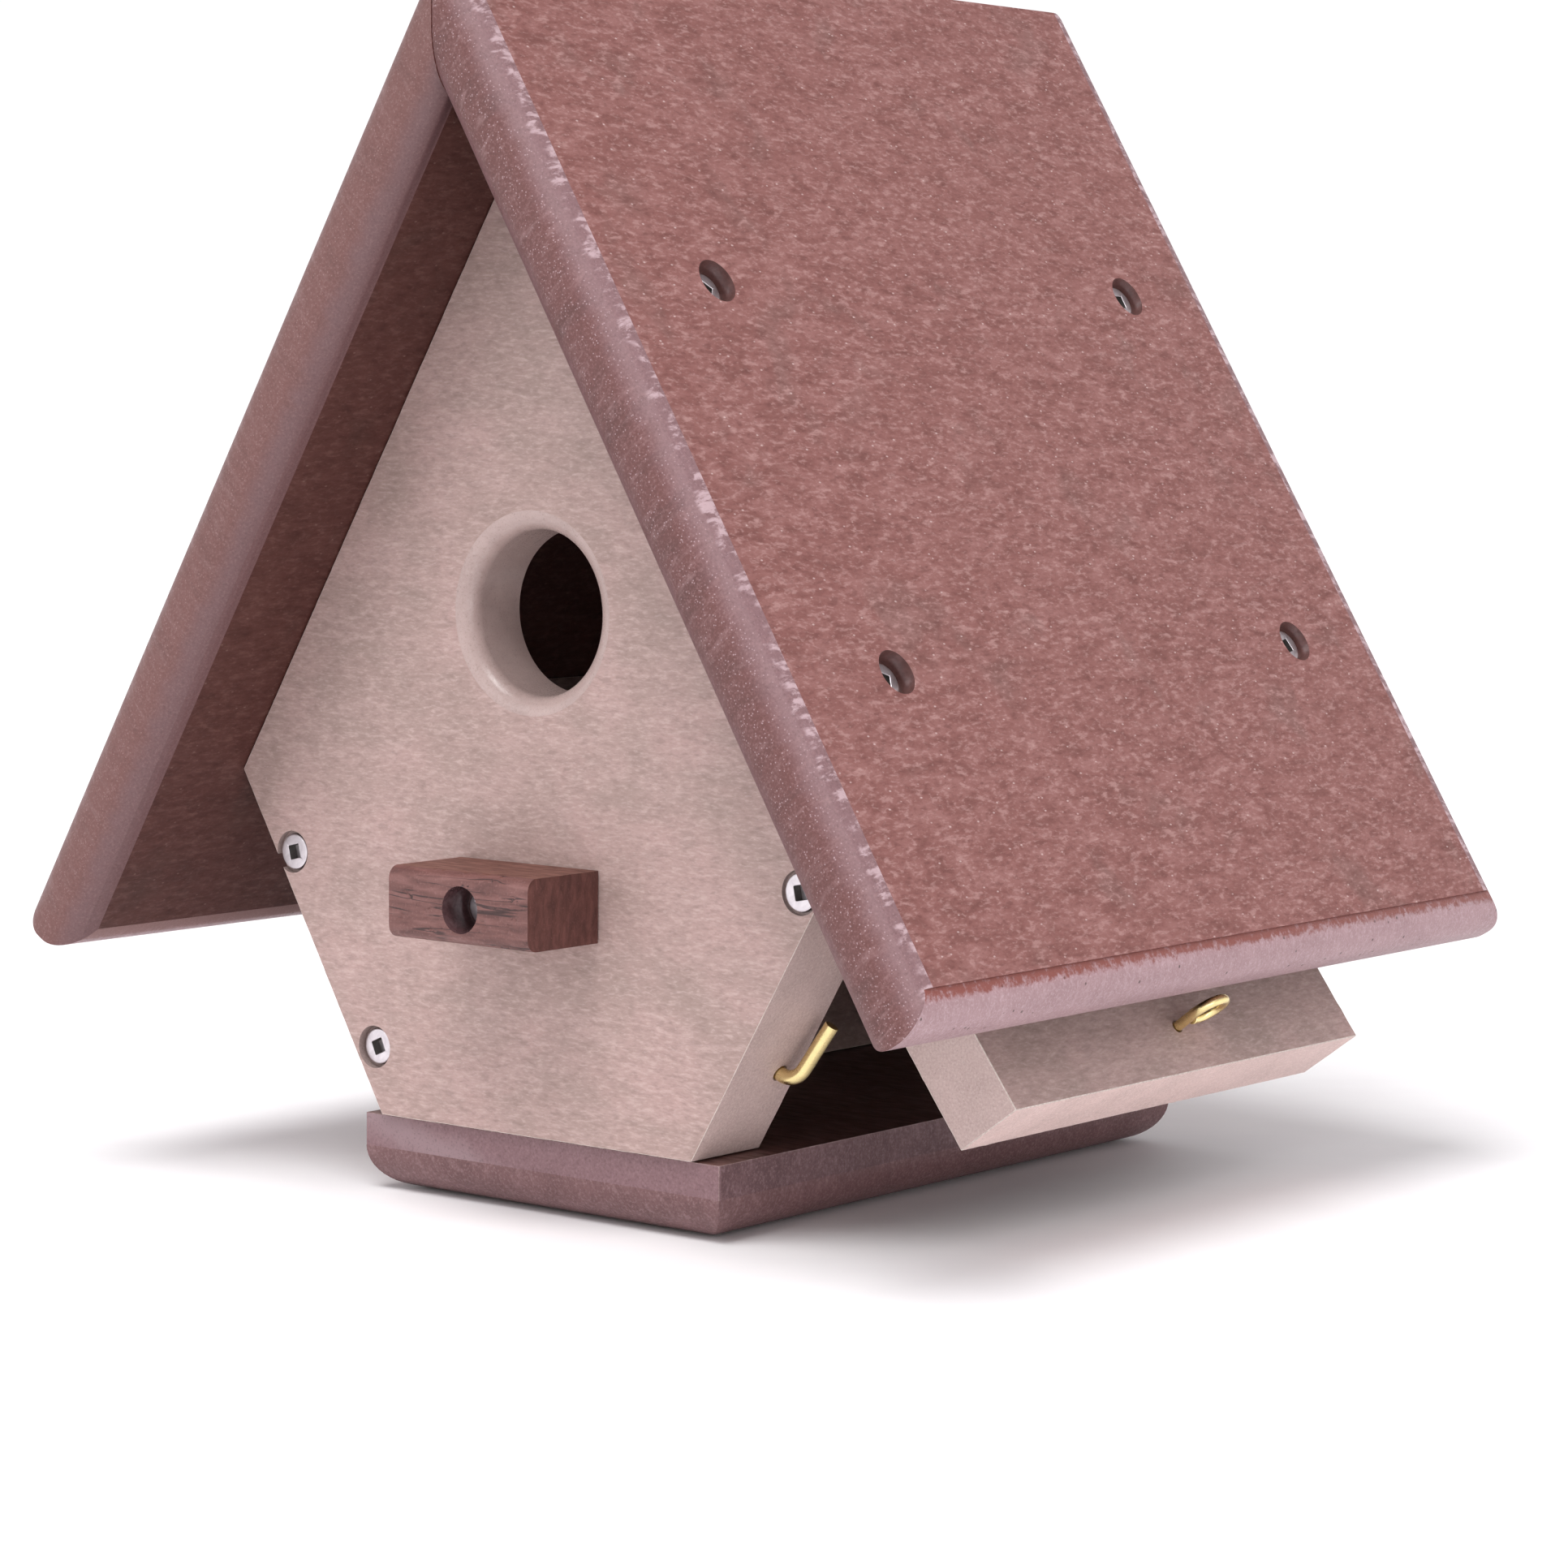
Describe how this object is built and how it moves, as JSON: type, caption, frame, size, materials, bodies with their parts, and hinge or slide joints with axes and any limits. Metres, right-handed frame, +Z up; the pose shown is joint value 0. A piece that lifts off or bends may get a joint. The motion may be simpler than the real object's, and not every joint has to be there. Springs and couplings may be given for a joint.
{
  "type": "birdhouse",
  "caption": "Small gabled birdhouse with hexagonal ends, a round entrance, a perch block, wide roof boards and a hinged clean-out side held by a brass turn hook.",
  "frame": {"origin": "middle of the floor board's underside, which is what the house stands on", "axes": "+Z up, -Y out of the entrance, +Y towards the back, +X to the right when facing the entrance, where the clean-out door is"},
  "size_m": [0.2108, 0.1924, 0.2273],
  "materials": {
    "tan_board": "mottled weathered-wood tan recycled-plastic board, satin, smoother on sawn edges",
    "roof_board": "mottled brick-brown recycled-plastic board with pale flecks, rounded edges with fine milling marks",
    "brown_board": "dark brown recycled-plastic board, satin, lightly grained",
    "brass_wire": "bright drawn brass wire with square-cut ends",
    "screw_steel": "satin stainless flat-head screw with a square drive"
  },
  "bodies": {
    "house": {"front_panel": "tan_board", "back_panel": "tan_board", "left_side_panel": "tan_board", "left_roof_panel": "roof_board", "right_roof_panel": "roof_board", "floor_board": "brown_board", "perch_block": "brown_board", "perch_screw": "screw_steel", "front_side_screw_upper": "screw_steel", "front_side_screw_lower": "screw_steel", "back_side_screw_upper": "screw_steel", "back_side_screw_lower": "screw_steel", "left_roof_screw_lower_front": "screw_steel", "left_roof_screw_lower_back": "screw_steel", "left_roof_screw_upper_front": "screw_steel", "left_roof_screw_upper_back": "screw_steel", "right_roof_screw_lower_front": "screw_steel", "right_roof_screw_lower_back": "screw_steel", "right_roof_screw_upper_front": "screw_steel", "right_roof_screw_upper_back": "screw_steel", "floor_screw_left_front": "screw_steel", "floor_screw_left_back": "screw_steel", "floor_screw_right_front": "screw_steel", "floor_screw_right_back": "screw_steel"},
    "door": {"cleanout_door": "tan_board", "door_pull_eye": "brass_wire", "door_pivot_screw_front": "screw_steel", "door_pivot_screw_back": "screw_steel"},
    "latch": {"latch_hook": "brass_wire"}
  },
  "joints": [
    {"name": "door_hinge", "type": "hinge", "parent": "house", "child": "door", "pos_m": [0.06136, 0.00622, 0.064], "axis": [0, -1, 0], "range_deg": [-66.25, 3]},
    {"name": "latch_turn", "type": "hinge", "parent": "house", "child": "latch", "pos_m": [0.04622, -0.05575, 0.02947], "axis": [-0.8646, 0, 0.5025], "range_deg": [-11, 79]}
  ]
}
